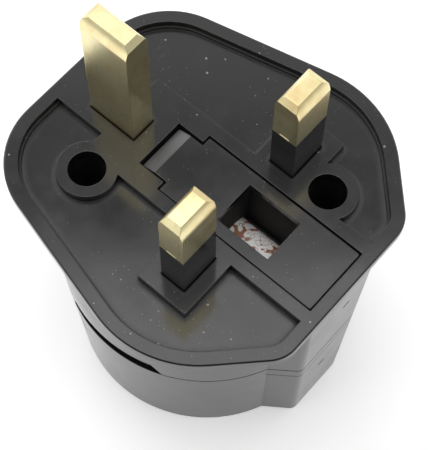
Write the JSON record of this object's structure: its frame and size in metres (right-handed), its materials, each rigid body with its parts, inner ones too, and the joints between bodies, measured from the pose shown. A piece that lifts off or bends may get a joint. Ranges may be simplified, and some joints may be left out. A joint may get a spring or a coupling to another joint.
{
  "type": "travel adapter",
  "caption": "Travel plug adapter: a fused three-pin plug on one side, a round recessed two-pin socket with earth clips on the other, and a fuse drawer that pulls out.",
  "frame": {"origin": "centre of the socket's mouth, on the plane that the adapter stands on", "axes": "+Z out through the plug's pins, +Y towards the earth pin, -X the live side"},
  "size_m": [0.0496, 0.0509, 0.0662],
  "materials": {
    "housing": "glossy moulded",
    "drawer": "glossy moulded",
    "inner_moulding": "matte moulded",
    "sleeve": "satin moulded",
    "pin_brass": "drawn and lightly scratched",
    "strip_brass": "stamped sheet",
    "fuse_cap": "plated and bright",
    "ceramic": "white ceramic",
    "earth_steel": "plated spring strip",
    "screw_steel": "zinc plated"
  },
  "bodies": {
    "housing": {"plug_base": "housing", "socket_shell": "housing", "contact_carrier": "inner_moulding", "live_pin": "pin_brass", "neutral_pin": "pin_brass", "earth_pin": "pin_brass", "live_sleeve": "sleeve", "neutral_sleeve": "sleeve", "live_contact": "strip_brass", "neutral_contact": "strip_brass", "live_fuse_clip": "strip_brass", "load_fuse_clip": "strip_brass", "neutral_link": "strip_brass", "earth_strap": "earth_steel", "earth_riser": "earth_steel", "earth_rivet": "strip_brass", "live_rivet": "strip_brass", "neutral_rivet": "strip_brass", "earth_clip_front": "earth_steel", "earth_clip_rear": "earth_steel", "screw_rear": "screw_steel", "screw_front": "screw_steel"},
    "drawer": {"fuse_carrier": "drawer", "fuse_tube": "ceramic", "fuse_cap_front": "fuse_cap", "fuse_cap_rear": "fuse_cap"}
  },
  "joints": [
    {"name": "drawer_slide", "type": "slide", "parent": "housing", "child": "drawer", "axis": [0, 0, 1], "range_m": [0, 0.018]}
  ]
}
